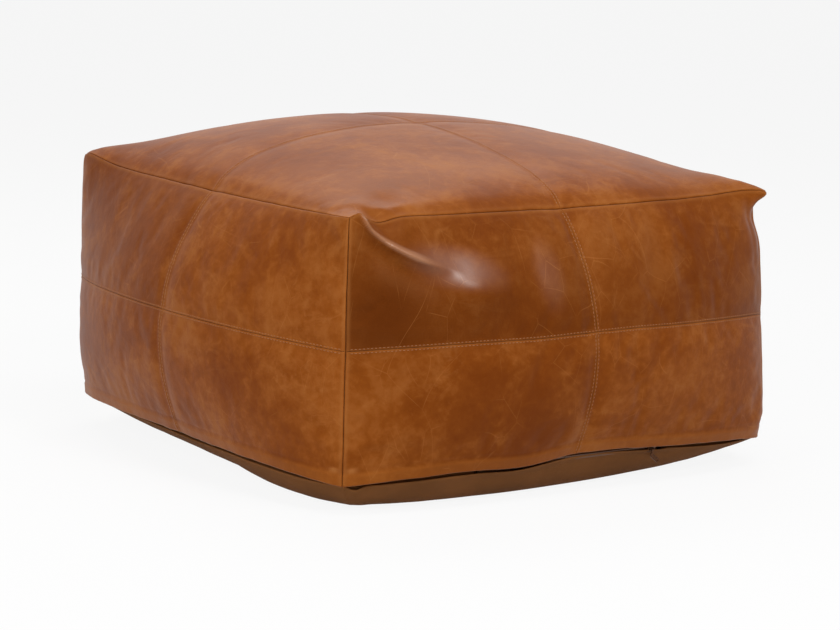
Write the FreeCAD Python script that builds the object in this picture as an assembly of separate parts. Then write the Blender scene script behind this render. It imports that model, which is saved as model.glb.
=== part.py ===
import FreeCAD, Part
import math
import os

from FreeCAD import Rotation, Vector

# A stuffed leather pouf: a top of four panels, four walls of four panels each, a turned-up hem,
# a canvas base with a zip behind the front hem, and a filled liner bag inside.
# The origin is on the floor under the middle. +Z is up, -Y is the front, where the zip is.
# Every surface is a formula of two parameters from -1 to 1, four times round the Z axis.

# Overall form, mm
CORNER_SPAN = 600.0      # between neighbouring corners of the cover, in plan
WALL_HEIGHT = 304.0      # from a hem corner to the top corner above it
HEM_LIFT = 36.0          # hem corner above the floor
TOP_CROWN = 65.0         # middle of the top above its corners
WALL_BELLY = 45.0        # middle of a wall beyond its own edges
TOP_EDGE_BOW = 8.0       # middle of a top edge, outwards
TOP_EDGE_SAG = 3.0       # middle of a top edge, downwards
HEM_BOW = 36.0           # middle of a hem, outwards
HEM_RISE = 8.0           # middle of a hem, upwards
CORNER_BOW = 2.0         # middle of an upright corner seam, outwards
CROWN_ROUND = 0.35       # share of the crown that is parabolic, the rest is flatter in the middle

# Contact patch of the base on the floor, mm
PATCH_MIDDLE = 5 * CORNER_SPAN / 12      # from the centre to the middle of a patch side
PATCH_CORNER = 19 * CORNER_SPAN / 60     # plan coordinate of a patch corner
BASE_ROUND = 2.2         # power of the base's rise from the patch to the hem

# Materials' thicknesses, mm
LEATHER = 1.8
CANVAS = 1.0
LINER = 0.6

# Fits, mm
SEAM_GAP = 0.3           # between two panels that meet at a seam
FOLD_GAP = 0.25          # between the two layers of the hem
CANVAS_GAP = 0.4         # between the hem and the canvas behind it
LINER_GAP = 0.7          # between the cover and the liner bag
FILL_GAP = 0.1           # between the liner bag and the filling

# Hem and canvas edge, mm
HEM_DEPTH = 12.0         # height of the turned-up layer
CANVAS_LAP = 8.0         # height of canvas behind the hem
HEM_CLEARANCE = 12.0     # how much further in the liner bag lies at the hem than at the top
CLEARANCE_RISE = 3       # power of that clearance's growth down the wall

# Zip, mm. Its frame has x along the zip, w up the wall's slope and n outwards.
ZIP_TRAVEL = 236.0       # stroke of the slider
ZIP_BEHIND = 4.52        # zip plane behind the hem's inner layer at the ends of the tapes
ZIP_DROP = 3.8           # middle of the chain below the hem's edge
TAPE_WIDTH = 13.0
TAPE_THICKNESS = 0.7
TAPE_OVERRUN = 5.0       # tape beyond each end of the chain
TAPE_FLAT = 5.0          # from the chain's middle to each tape's bend, past the slider
UPPER_TAPE_BEND = 20.0   # degrees that the upper tape turns out towards the hem
LOWER_TAPE_BEND = -22.0  # degrees that the lower tape turns in behind the canvas
COIL_GAP = 1.3           # between the two coils, where the slider's divider runs
COIL_REACH = 2.2         # width of one coil
COIL_HEIGHT = 2.0
COIL_SPINE = 1.0         # width of the coil's unbroken edge
COIL_PITCH = 2.4
TOOTH_WIDTH = 1.5
COIL_LIFT = 0.05         # between a coil and its tape
NOTCH_DEPTH = 8.0        # canvas cut away below the middle of the chain
NOTCH_HEIGHT = 40.0      # overall, past the top of the lap
NOTCH_THROUGH = 30.0     # through the canvas
NOTCH_OVERRUN = 7.0      # canvas cut away beyond the slider's reach at each end
STOP_LENGTH = 2.0
STOP_GAP = 0.4           # between a stop and the slider at the end of its stroke

# Slider and pull, mm
SLIDER_LENGTH = 11.0
SLIDER_WIDTH = 9.0
PLATE = 1.2              # thickness of its front and rear plates
PLATE_CORNER = 2.0       # corner radius of a plate
SLIDER_PLAY = 0.4        # between the slider and what runs through it
FLANGE = 1.0             # width of the turned edges
DIVIDER_LENGTH = 3.0
DIVIDER_WIDTH = 0.7
CROWN_BAR_RADIUS = 0.65
CROWN_SPAN = 4.2         # free length of the crown's bar
CROWN_LEG = 1.3          # length of a crown leg along the zip
CROWN_RISE = 2.1         # bar's axis above the front plate
EYE_CLEARANCE = 0.08     # radial play of the pull's eye on the bar
EYE_WALL = 0.75
EYE_LENGTH = 2.6
NECK_WIDTH = 2.2
NECK_LENGTH = 3.6
PULL_THICKNESS = 1.2
PULL_WIDTH = 5.6
PULL_LENGTH = 16.0
PULL_CANT = 50.0         # degrees that the pull's blade leans towards +X
PULL_HOLE_RADIUS = 1.3

# Nodes of the spline nets
NODES_ALONG = 8          # along half a wall or half a top edge
NODES_UP = 7             # up half a wall, or from the canvas edge to the patch
NODES_STRIP = 4          # across a narrow strip

HALF_SPAN = CORNER_SPAN / 2
HALF_HEIGHT = WALL_HEIGHT / 2
STEP = 1e-4              # parameter step of the numerical slopes
UP = Vector(0, 0, 1)
SIDES = ("front", "right", "rear", "left")
QUARTER_TURN = 90.0


def rounded(a):
    return 1 - a * a


def flat_middle(a):
    return 1 - a ** 4


def crown(a):
    return 1 - CROWN_ROUND * a ** 2 - (1 - CROWN_ROUND) * a ** 4


def wall_skin(s, t):
    """Outer face of the front wall: s runs from its left to its right, t from hem to top edge."""
    up = (1 + t) / 2
    down = 1 - up
    corner = CORNER_BOW * rounded(t)
    bow = TOP_EDGE_BOW * rounded(s) * up + HEM_BOW * flat_middle(s) * down
    belly = WALL_BELLY * rounded(s) * rounded(t)
    shift = HEM_RISE * flat_middle(s) * down - TOP_EDGE_SAG * rounded(s) * up
    z = HEM_LIFT + WALL_HEIGHT * up + shift
    return Vector(s * (HALF_SPAN + corner), -(HALF_SPAN + corner + bow + belly), z)


def top_skin(u, v):
    """Outer face of the top: u runs to the right, v to the rear."""
    sag = TOP_EDGE_SAG * (rounded(u) * v ** 4 + rounded(v) * u ** 4)
    z = HEM_LIFT + WALL_HEIGHT - sag + TOP_CROWN * crown(u) * crown(v)
    return Vector(u * (HALF_SPAN + TOP_EDGE_BOW * rounded(v)),
                  v * (HALF_SPAN + TOP_EDGE_BOW * rounded(u)), z)


def patch_rim(s):
    """Front side of the contact patch, a parabola from corner to corner."""
    return Vector(s * PATCH_CORNER, -PATCH_CORNER - (PATCH_MIDDLE - PATCH_CORNER) * rounded(s), 0)


def turned(point, turns):
    return Rotation(UP, QUARTER_TURN * turns).multVec(point)


def slope_normal(skin, a, b):
    """Unit normal on the side where a crossed with b points."""
    along = skin(a + STEP, b) - skin(a - STEP, b)
    across = skin(a, b + STEP) - skin(a, b - STEP)
    return along.cross(across).normalize()


def mitre(normals):
    """The vector whose component along every normal is one."""
    if len(normals) == 1:
        return normals[0]
    if len(normals) == 2:
        return (normals[0] + normals[1]) / (1 + normals[0].dot(normals[1]))
    first, second, third = normals
    total = second.cross(third) + third.cross(first) + first.cross(second)
    return total / first.dot(second.cross(third))


def wall_mitre(s, t):
    normals = [slope_normal(wall_skin, s, t)]
    if abs(s) == 1:
        normals.append(turned(slope_normal(wall_skin, -s, t), s))
    if t == 1:
        normals.append(slope_normal(top_skin, s, -1))
    return mitre(normals)


def top_mitre(u, v):
    normals = [slope_normal(top_skin, u, v)]
    if v == -1:
        normals.append(slope_normal(wall_skin, u, 1))
    if u == -1:
        normals.append(turned(slope_normal(wall_skin, -v, 1), -1))
    return mitre(normals)


def nodes(low, high, count):
    return [low + (high - low) * i / (count - 1) for i in range(count)]


def curve_net(points):
    """Poles, multiplicities, knots and degree of the curve through evenly spaced points."""
    if len(points) == 2:
        return list(points), [2, 2], [0.0, 1.0], 1
    curve = Part.BSplineCurve()
    curve.interpolate(Points=points, Parameters=nodes(0.0, 1.0, len(points)))
    return curve.getPoles(), curve.getMultiplicities(), curve.getKnots(), curve.Degree


def face_through(rows):
    """Spline face through a grid of points. Its edges depend only on the grid's own edges."""
    row_nets = [curve_net(row) for row in rows]
    columns = [curve_net(list(column)) for column in zip(*[net[0] for net in row_nets])]
    poles = [list(row) for row in zip(*[column[0] for column in columns])]
    surface = Part.BSplineSurface()
    surface.buildFromPolesMultsKnots(poles, columns[0][1], row_nets[0][1], columns[0][2],
                                     row_nets[0][2], False, False, columns[0][3], row_nets[0][3])
    return surface.toShape()


def closed_solid(faces):
    shell = Part.makeShell(faces)
    shell.sewShape()
    solid = Part.makeSolid(shell)
    if solid.Volume < 0:
        solid.reverse()
    return solid


def sheet(outer, inner):
    """Solid between two grids of points that face each other."""
    faces = [face_through(outer), face_through(inner)]
    for first, second in ((outer, inner), (list(zip(*outer)), list(zip(*inner)))):
        for end in (0, -1):
            faces.append(face_through([list(first[end]), list(second[end])]))
    return closed_solid(faces)


def offset_grid(skin, mitres, a_range, b_range, counts, trim, depth):
    """Points of a skin moved inwards by depth(b), with every edge trimmed by its own share."""
    grid = []
    for i, a in enumerate(nodes(*a_range, counts[0])):
        row = []
        for j, b in enumerate(nodes(*b_range, counts[1])):
            a_cut = nodes(a_range[0] + trim[0], a_range[1] - trim[0], counts[0])[i]
            b_cut = nodes(b_range[0] + trim[1], b_range[1] - trim[2], counts[1])[j]
            row.append(skin(a_cut, b_cut) - mitres(a, b) * depth(b))
        grid.append(row)
    return grid


def layer(skin, mitres, a_range, b_range, counts, trim, depth, thickness):
    """A sheet of even thickness that lies at a constant depth under a skin."""
    outer = offset_grid(skin, mitres, a_range, b_range, counts, trim, lambda b: depth)
    inner = offset_grid(skin, mitres, a_range, b_range, counts, trim, lambda b: depth + thickness)
    return sheet(outer, inner)


SEAM_ALONG = SEAM_GAP / 2 / HALF_SPAN
SEAM_UP = SEAM_GAP / 2 / HALF_HEIGHT
HALVES = (("left", (-1.0, 0.0)), ("right", (0.0, 1.0)))


def top_panel():
    return layer(top_skin, top_mitre, (-1.0, 0.0), (-1.0, 0.0), (NODES_ALONG, NODES_ALONG),
                 (SEAM_ALONG, SEAM_ALONG, SEAM_ALONG), 0.0, LEATHER)


def wall_panel(half, t_range):
    bottom_trim = 0.0 if t_range[0] == -1 else SEAM_UP
    return layer(wall_skin, wall_mitre, half, t_range, (NODES_ALONG, NODES_UP),
                 (SEAM_ALONG, bottom_trim, SEAM_UP), 0.0, LEATHER)


def hem_turn(half):
    """The leather turned up behind the lower edge of a wall panel."""
    top = -1 + HEM_DEPTH / HALF_HEIGHT
    return layer(wall_skin, wall_mitre, half, (-1.0, top), (NODES_ALONG, NODES_STRIP),
                 (SEAM_ALONG, 0.0, 0.0), LEATHER + FOLD_GAP, LEATHER)


CANVAS_INSET = 2 * LEATHER + FOLD_GAP + CANVAS_GAP


def canvas_skin(s, r):
    """Outer face of the base under the front wall, from the hem at r = 0 to the patch at r = 1."""
    hem = wall_skin(s, -1) - wall_mitre(s, -1) * CANVAS_INSET
    rim = patch_rim(s)
    return Vector(hem.x + (rim.x - hem.x) * r, hem.y + (rim.y - hem.y) * r,
                  hem.z * max(1 - r, 0.0) ** BASE_ROUND)


def canvas_mitre(s, r):
    """As wall_mitre. The slope beside a corner is taken just short of it, before the hem's mitre."""
    if r == 1:
        return -UP
    outwards = -slope_normal(canvas_skin, s * (1 - 4 * STEP), r)
    normals = [outwards]
    if r == 0:
        normals.append(slope_normal(wall_skin, s, -1))
    if abs(s) == 1:
        normals.append(turned(Vector(-outwards.x, outwards.y, outwards.z), s))
    return mitre(normals)


def canvas_lap(half, depth):
    """Grid of the strip of canvas behind the hem."""
    inset = CANVAS_INSET + depth
    return [[wall_skin(s, -1 + CANVAS_LAP / HALF_HEIGHT) - wall_mitre(s, -1) * inset,
             canvas_skin(s, 0) - canvas_mitre(s, 0) * depth] for s in nodes(*half, NODES_ALONG)]


def canvas_ring(half, depth):
    """Grid of the canvas from the hem to the contact patch."""
    return [[canvas_skin(s, r) - canvas_mitre(s, r) * depth for r in nodes(0.0, 1.0, NODES_UP)]
            for s in nodes(*half, NODES_ALONG)]


def all_round(face):
    return [face.rotated(Vector(), UP, QUARTER_TURN * turns) for turns in range(4)]


def patch_face(grids):
    """Flat face bounded by the last column of both halves' grids, four times round."""
    edges = []
    for grid in grids:
        curve = Part.BSplineCurve()
        curve.interpolate(Points=[row[-1] for row in grid], Parameters=nodes(0.0, 1.0, len(grid)))
        edges += all_round(curve.toShape())
    return Part.Face(Part.Wire(Part.__sortEdges__(edges)))


def base_canvas():
    faces = []
    rims = []
    for depth in (0.0, CANVAS):
        laps = [canvas_lap(half, depth) for _, half in HALVES]
        rings = [canvas_ring(half, depth) for _, half in HALVES]
        for grid in laps + rings:
            faces += all_round(face_through(grid))
        faces.append(patch_face(rings))
        rims.append([[row[0] for row in lap] for lap in laps])
    for outer, inner in zip(*rims):
        faces += all_round(face_through([outer, inner]))
    return closed_solid(faces)


def bag(depth, floor):
    """Closed form inside the cover, at a depth that grows towards the hem, above a floor gap."""
    def wall_depth(t):
        return depth + HEM_CLEARANCE * ((1 - t) / 2) ** CLEARANCE_RISE

    faces = []
    rings = []
    for _, half in HALVES:
        wall = offset_grid(wall_skin, wall_mitre, half, (-1.0, 1.0), (NODES_ALONG, 2 * NODES_UP - 1),
                           (0.0, 0.0, 0.0), wall_depth)
        ring = []
        for s, row in zip(nodes(*half, NODES_ALONG), wall):
            hem, rim = row[0], patch_rim(s)
            ring.append([Vector(hem.x + (rim.x - hem.x) * r, hem.y + (rim.y - hem.y) * r,
                                floor + (hem.z - floor) * (1 - r) ** BASE_ROUND)
                         for r in nodes(0.0, 1.0, NODES_UP)])
        faces += all_round(face_through(wall)) + all_round(face_through(ring))
        rings.append(ring)
    top = offset_grid(top_skin, top_mitre, (-1.0, 0.0), (-1.0, 0.0), (NODES_ALONG, NODES_ALONG),
                      (0.0, 0.0, 0.0), lambda v: depth)
    faces += all_round(face_through(top))
    faces.append(patch_face(rings))
    return closed_solid(faces)


# The zip's frame: its w axis follows the slope of the front wall at the middle of the hem.
HEM_MIDDLE = wall_skin(0, -1)
HEM_NORMAL = slope_normal(wall_skin, 0, -1)
WALL_SLOPE = UP.cross(HEM_NORMAL).cross(HEM_NORMAL).normalize() * -1
ZIP_TILT = math.degrees(math.atan2(-HEM_NORMAL.z, -HEM_NORMAL.y))
SLIDER_HOME = ZIP_TRAVEL / 2
TAPE_END = SLIDER_HOME + SLIDER_LENGTH / 2 + STOP_GAP + TAPE_OVERRUN
HEM_RECESS = HEM_BOW * (1 - flat_middle(2 * TAPE_END / CORNER_SPAN))     # hem's curve over the zip
ZIP_INSET = 2 * LEATHER + FOLD_GAP + HEM_RECESS + ZIP_BEHIND    # zip plane behind the hem's outer face
ZIP_ORIGIN = HEM_MIDDLE - HEM_NORMAL * ZIP_INSET - WALL_SLOPE * ZIP_DROP
CHAIN_END = SLIDER_HOME + SLIDER_LENGTH / 2 + STOP_GAP
COIL_INNER = COIL_GAP / 2
COIL_BASE = TAPE_THICKNESS / 2 + COIL_LIFT
PLATE_LEVEL = COIL_BASE + COIL_HEIGHT + SLIDER_PLAY
BAR_LEVEL = PLATE_LEVEL + PLATE + CROWN_RISE


def in_zip_frame(shape):
    shape.rotate(Vector(), Vector(1, 0, 0), QUARTER_TURN + ZIP_TILT)
    shape.translate(ZIP_ORIGIN)
    return shape


def block(x_range, w_range, n_range):
    size = [high - low for low, high in (x_range, w_range, n_range)]
    return Part.makeBox(*size, Vector(x_range[0], w_range[0], n_range[0]))


def tape(side, bend):
    """Zip tape above (side = 1) or below (side = -1) the chain, bent past the slider."""
    reach = CHAIN_END + TAPE_OVERRUN
    turn, half_turn = math.radians(bend), math.radians(bend / 2)
    rest = TAPE_WIDTH + COIL_INNER - TAPE_FLAT
    middle = [Vector(-reach, side * COIL_INNER, 0), Vector(-reach, side * TAPE_FLAT, 0),
              Vector(-reach, side * (TAPE_FLAT + rest * math.cos(turn)), rest * math.sin(turn))]
    lifts = [Vector(0, -side * math.sin(angle), math.cos(angle)) * (TAPE_THICKNESS / 2 / math.cos(shift))
             for angle, shift in ((0.0, 0.0), (half_turn, half_turn), (turn, 0.0))]
    outline = [point + lift for point, lift in zip(middle, lifts)]
    outline += [point - lift for point, lift in zip(middle[::-1], lifts[::-1])]
    profile = Part.Face(Part.makePolygon(outline + outline[:1]))
    return profile.extrude(Vector(2 * reach, 0, 0))


def coil(side):
    """One half of the chain: an unbroken spine with teeth towards the other half."""
    level = (COIL_BASE, COIL_BASE + COIL_HEIGHT)
    spine_edge = COIL_INNER + COIL_REACH - COIL_SPINE
    spine = sorted((side * spine_edge, side * (COIL_INNER + COIL_REACH)))
    tooth = sorted((side * COIL_INNER, side * spine_edge))
    offset = COIL_PITCH / 2 if side > 0 else 0.0
    count = int((2 * CHAIN_END - offset) // COIL_PITCH)
    pieces = []
    for i in range(count):
        start = -CHAIN_END + offset + i * COIL_PITCH
        pieces.append(block((start, start + TOOTH_WIDTH), tooth, level))
    return block((-CHAIN_END, CHAIN_END), spine, level).multiFuse(pieces).removeSplitter()


def stop(side):
    """Block across both coils at one end of the chain."""
    reach = COIL_INNER + COIL_REACH
    ends = sorted((side * CHAIN_END, side * (CHAIN_END + STOP_LENGTH)))
    return block(ends, (-reach, reach), (COIL_BASE, COIL_BASE + COIL_HEIGHT))


def slider_plate(level):
    plate = block((-SLIDER_LENGTH / 2, SLIDER_LENGTH / 2), (-SLIDER_WIDTH / 2, SLIDER_WIDTH / 2),
                  (level, level + PLATE))
    corners = [edge for edge in plate.Edges if edge.Vertexes[0].Z != edge.Vertexes[1].Z]
    return plate.makeFillet(PLATE_CORNER, corners)


def slider_body():
    """Two plates joined by the divider, with turned edges on the front plate and a crown on it."""
    rear_level = -TAPE_THICKNESS / 2 - SLIDER_PLAY - PLATE
    front = slider_plate(PLATE_LEVEL)
    rear = slider_plate(rear_level)
    divider = block((SLIDER_LENGTH / 2 - PLATE_CORNER - DIVIDER_LENGTH, SLIDER_LENGTH / 2 - PLATE_CORNER),
                    (-DIVIDER_WIDTH / 2, DIVIDER_WIDTH / 2), (rear_level, PLATE_LEVEL + PLATE))
    straight = SLIDER_LENGTH / 2 - PLATE_CORNER
    body = front.fuse([rear, divider])
    for side in (-1, 1):
        edge = sorted((side * (SLIDER_WIDTH / 2 - FLANGE), side * SLIDER_WIDTH / 2))
        body = body.fuse(block((-straight, straight), edge,
                               (TAPE_THICKNESS / 2 + SLIDER_PLAY, PLATE_LEVEL)))
        leg = sorted((side * CROWN_SPAN / 2, side * (CROWN_SPAN / 2 + CROWN_LEG)))
        body = body.fuse(block(leg, (-CROWN_BAR_RADIUS, CROWN_BAR_RADIUS),
                               (PLATE_LEVEL + PLATE, BAR_LEVEL + CROWN_BAR_RADIUS)))
    bar = Part.makeCylinder(CROWN_BAR_RADIUS, CROWN_SPAN, Vector(-CROWN_SPAN / 2, 0, BAR_LEVEL),
                            Vector(1, 0, 0))
    return body.fuse(bar).removeSplitter()


def pull_tab(pivot):
    """Eye on the crown's bar, a short neck straight down and a rounded blade that leans."""
    bore = CROWN_BAR_RADIUS + EYE_CLEARANCE
    ring = bore + EYE_WALL
    start = pivot - Vector(EYE_LENGTH / 2, 0, 0)
    eye = Part.makeCylinder(ring, EYE_LENGTH, start, Vector(1, 0, 0))
    neck_end = NECK_LENGTH + PULL_WIDTH / 2
    neck = Part.makeBox(NECK_WIDTH, PULL_THICKNESS, neck_end,
                        pivot - Vector(NECK_WIDTH / 2, PULL_THICKNESS / 2, neck_end))
    blade_length = PULL_LENGTH - PULL_WIDTH
    blade = Part.makeBox(PULL_WIDTH, PULL_THICKNESS, blade_length,
                         Vector(-PULL_WIDTH / 2, -PULL_THICKNESS / 2, -blade_length))
    for height in (0.0, -blade_length):
        blade = blade.fuse(Part.makeCylinder(PULL_WIDTH / 2, PULL_THICKNESS,
                                             Vector(0, -PULL_THICKNESS / 2, height), Vector(0, 1, 0)))
    blade = blade.cut(Part.makeCylinder(PULL_HOLE_RADIUS, PULL_THICKNESS,
                                        Vector(0, -PULL_THICKNESS / 2, -blade_length), Vector(0, 1, 0)))
    blade.rotate(Vector(), Vector(0, 1, 0), -PULL_CANT)
    blade.translate(pivot - Vector(0, 0, neck_end))
    hole = Part.makeCylinder(bore, EYE_LENGTH, start, Vector(1, 0, 0))
    return eye.fuse([neck, blade]).cut(hole).removeSplitter()


def zip_notch():
    """Room for the zip and its slider in the canvas."""
    reach = SLIDER_HOME + SLIDER_LENGTH / 2 + NOTCH_OVERRUN
    return in_zip_frame(block((-reach, reach), (-NOTCH_DEPTH, NOTCH_HEIGHT - NOTCH_DEPTH),
                              (-ZIP_INSET, NOTCH_THROUGH - ZIP_INSET)))


def build_parts():
    parts = {}
    corner = top_panel()
    corner_names = ("front_left", "front_right", "rear_right", "rear_left")
    for turns, name in enumerate(corner_names):
        parts["top_panel_" + name] = corner.rotated(Vector(), UP, QUARTER_TURN * turns)
    for label, half in HALVES:
        pieces = {"wall_upper": wall_panel(half, (0.0, 1.0)),
                  "wall_lower": wall_panel(half, (-1.0, 0.0)),
                  "hem_turn": hem_turn(half)}
        for kind, piece in pieces.items():
            for turns, side in enumerate(SIDES):
                parts[f"{side}_{kind}_{label}"] = piece.rotated(Vector(), UP, QUARTER_TURN * turns)
    parts["base_canvas"] = base_canvas().cut(zip_notch())
    liner_depth = LEATHER + LINER_GAP
    liner_floor = CANVAS + LINER_GAP
    parts["liner_bag"] = bag(liner_depth, liner_floor).cut(bag(liner_depth + LINER, liner_floor + LINER))
    fill_inset = LINER + FILL_GAP
    parts["filling"] = bag(liner_depth + fill_inset, liner_floor + fill_inset)
    for side, name, bend in ((1, "upper", UPPER_TAPE_BEND), (-1, "lower", LOWER_TAPE_BEND)):
        parts["zip_tape_" + name] = in_zip_frame(tape(side, bend))
        parts["zip_coil_" + name] = in_zip_frame(coil(side))
    parts["zip_top_stop"] = in_zip_frame(stop(1))
    parts["zip_bottom_stop"] = in_zip_frame(stop(-1))
    body = in_zip_frame(slider_body())
    body.translate(Vector(SLIDER_HOME, 0, 0))
    parts["zip_slider"] = body
    pivot = ZIP_ORIGIN + HEM_NORMAL * BAR_LEVEL + Vector(SLIDER_HOME, 0, 0)
    parts["zip_pull"] = pull_tab(pivot)
    print("pull pivot, mm:", [round(value, 4) for value in pivot], "zip tilt, degrees:", round(ZIP_TILT, 3))
    return parts


os.makedirs("parts", exist_ok=True)
for node, shape in build_parts().items():
    shape.exportStep(f"parts/{node}.step")
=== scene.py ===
import math

import bpy
import numpy as np
from bpy.props import FloatProperty, FloatVectorProperty, IntProperty, PointerProperty
from mathutils import Matrix, Vector


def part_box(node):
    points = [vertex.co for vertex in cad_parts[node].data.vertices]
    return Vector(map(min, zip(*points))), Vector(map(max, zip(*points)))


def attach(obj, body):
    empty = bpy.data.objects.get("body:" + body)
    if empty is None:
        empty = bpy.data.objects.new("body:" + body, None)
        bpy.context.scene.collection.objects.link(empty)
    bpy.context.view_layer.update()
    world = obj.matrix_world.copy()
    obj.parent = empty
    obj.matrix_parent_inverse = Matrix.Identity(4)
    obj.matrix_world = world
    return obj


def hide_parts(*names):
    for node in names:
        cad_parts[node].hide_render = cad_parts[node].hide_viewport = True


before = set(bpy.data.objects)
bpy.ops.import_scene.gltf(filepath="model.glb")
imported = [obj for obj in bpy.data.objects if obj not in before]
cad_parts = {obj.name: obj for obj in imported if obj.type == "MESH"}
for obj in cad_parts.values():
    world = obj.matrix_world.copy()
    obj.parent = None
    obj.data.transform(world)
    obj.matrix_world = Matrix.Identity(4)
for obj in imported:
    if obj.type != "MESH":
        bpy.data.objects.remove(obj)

bl_info = {
    "name": "Stuffed leather pouf",
    "version": (1, 0, 0),
    "blender": (4, 5, 0),
    "location": "3D View > Sidebar > Pouf",
    "description": "A square stuffed leather pouf with cross seams, a turned-up hem and a zipped canvas base",
    "category": "Object",
}

BODY = "pouf"
SIDES = ("front", "right", "rear", "left")
FRONT, RIGHT, REAR, LEFT = range(4)     # quarter turns from the front to each side
STEP = 1e-3              # parameter step of the numerical slopes

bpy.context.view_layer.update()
WALL_LOW, WALL_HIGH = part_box("front_wall_lower_left")[0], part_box("front_wall_upper_left")[1]
CROWN_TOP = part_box("top_panel_front_left")[1].z
SEAM_GAP = 0.00015       # from a panel's edge in the CAD to the middle of its seam
CORNER_BOW = 0.002       # middle of an upright corner seam, outwards
FINEST = 0.0004          # spacing of a panel's mesh at its seams
GROWTH = 1.35            # from one spacing to the next, away from a seam
TURNING = 0.009          # reach within which a panel's normals turn to its plain seams' mean normals
CORNER_FROM = 0.97       # parameter from which a seam's mean normal takes in the corner's third face
PLAIN_REACH, FLAT_REACH = 0.010, 0.016      # of the valleys beside plain and topstitched seams
WELT, WELT_REACH = 0.0005, 0.004            # lift of the leather by the edges under a topstitched seam
FIRM_PUCKERS = 0.6       # share of its gathers that a topstitched seam keeps
HEM_GAP = 0.00025        # between a wall and its turned-up hem
PULL_ROOM = 0.0032       # canvas below the zip, set further in, so that the pull can swing
TUBE = 6                 # points round a stitch, and its rings
NEARBY = 0.0005          # from a stitch's middle to the points that give its direction
WHITE = (1, 1, 1, 1)
FLOOR_DROP = 0.0006      # from the pouf's underside to the floor
FLOOR_GLOW = 0.90        # share of even white in the floor where it is seen
AMBIENT = 0.20           # strength of the world's light, which is 1 where it is seen

# The lamps' names, places, sizes and powers. Each faces the target.
LAMP_TARGET = (0, 0, 0.2)
LAMPS = (("overhead_rear", (0.4, 1.3, 2.3), (2.4, 1.4), 26),
         ("overhead_front", (-0.2, -1.5, 2.6), (1.6, 0.8), 25),
         ("key", (-2.9, -0.7, 1.6), (1.4, 1.4), 38),
         ("front", (-0.1, -2.75, 2.0), (0.6, 0.5), 32))

# The cloth that the cover is inflated as, and for how many frames
CLOTH = {"quality": 6, "mass": 0.25, "tension_stiffness": 45, "compression_stiffness": 45,
         "shear_stiffness": 20, "bending_stiffness": 0.8, "use_pressure": True,
         "vertex_group_shrink": "tight", "shrink_min": -0.012, "shrink_max": 0.012,
         "vertex_group_mass": "held"}
INFLATING = 20
HELD = (0.040, 0.012)    # above the hem: where it starts to be held, and where it is held fast
WEIGHT_STEPS = 20        # steps of the cloth's vertex weights
WELD = 2e-4              # size of the cells in which its points are taken as one
CREASE_SHARE = 0.6       # share of the cloth's creases that is kept, and how much less of it on the top
TOP_DAMPING = 0.55


# ---------------------------------------------------------------- sizes and colours

def length(name, default, description):
    return FloatProperty(name=name, default=default, description=description, unit="LENGTH")


def angle(name, default, description):
    return FloatProperty(name=name, default=default, description=description, subtype="ANGLE")


def colour(name, default, description):
    return FloatVectorProperty(name=name, default=default, description=description, subtype="COLOR", size=3)


class PoufForm(bpy.types.PropertyGroup):
    """Overall sizes of the stuffed cover."""
    half_span: length("Half span", -WALL_LOW.x - CORNER_BOW + SEAM_GAP,
                      "From the middle to a side's corners, in plan")
    hem_lift: length("Hem lift", WALL_LOW.z, "Height of the hem's corners above the floor")
    corner_height: length("Corner height", WALL_HIGH.z + SEAM_GAP,
                          "Height of the top's corners above the floor")
    crown: length("Crown", CROWN_TOP - WALL_HIGH.z, "Middle of the top above its corners")
    belly: length("Belly", 0.045, "Middle of a wall beyond the line between its edges")
    top_bow: length("Top edge bow", 0.008, "Middle of a top edge, outwards")
    top_sag: length("Top edge sag", 0.003, "Middle of a top edge, downwards")
    hem_bow: length("Hem bow", 0.036, "Middle of a hem, outwards")
    hem_rise: length("Hem rise", 0.008, "Middle of a hem, upwards")
    patch_middle: length("Patch middle", 0.250, "From the middle to a side of the flat patch on the floor")
    patch_corner: length("Patch corner", 0.190, "Plan coordinate of the flat patch's corners")
    patch_tuck: length("Patch tuck", 0.030, "How far the flat patch's left side is drawn in")
    leather: length("Leather", 0.0018, "Its thickness")
    canvas: length("Canvas", 0.0010, "Its thickness")
    fineness: length("Fineness", 0.003, "Largest spacing of a panel's mesh")
    coarse: length("Inflated spacing", 0.009, "Spacing of the copy that is inflated as cloth")
    pressure: FloatProperty(name="Pressure", default=5.0, description="Pressure that inflates the copy")
    crease_cap: length("Crease cap", 0.0016, "Most that the inflated leather may crease")
    ease_rounds: IntProperty(name="Ease rounds", default=60,
                             description="How far creases are told from the overall swelling")


class PoufSeams(bpy.types.PropertyGroup):
    """Sizes of the seams, the hem and the stitches."""
    plain_roll: length("Plain roll", 0.0023, "Radius of a panel's edge where it turns into a plain seam")
    plain_valley: length("Plain valley", 0.0018, "How far the leather beside a plain seam is drawn in")
    flat_roll: length("Flat roll", 0.0009, "Radius of a panel's edge at a topstitched seam")
    flat_valley: length("Flat valley", 0.0016, "How far the leather beside a topstitched seam is drawn in")
    row_offset: length("Row offset", 0.0023, "From a seam to each row of topstitching")
    pitch: length("Stitch pitch", 0.0045, "From one stitch to the next")
    stitch: length("Stitch length", 0.0031, "Length of a stitch that shows")
    thread: length("Thread radius", 0.00034, "Radius of the thread")
    hem_depth: length("Hem depth", 0.012, "Height of the turned-up edge")


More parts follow.
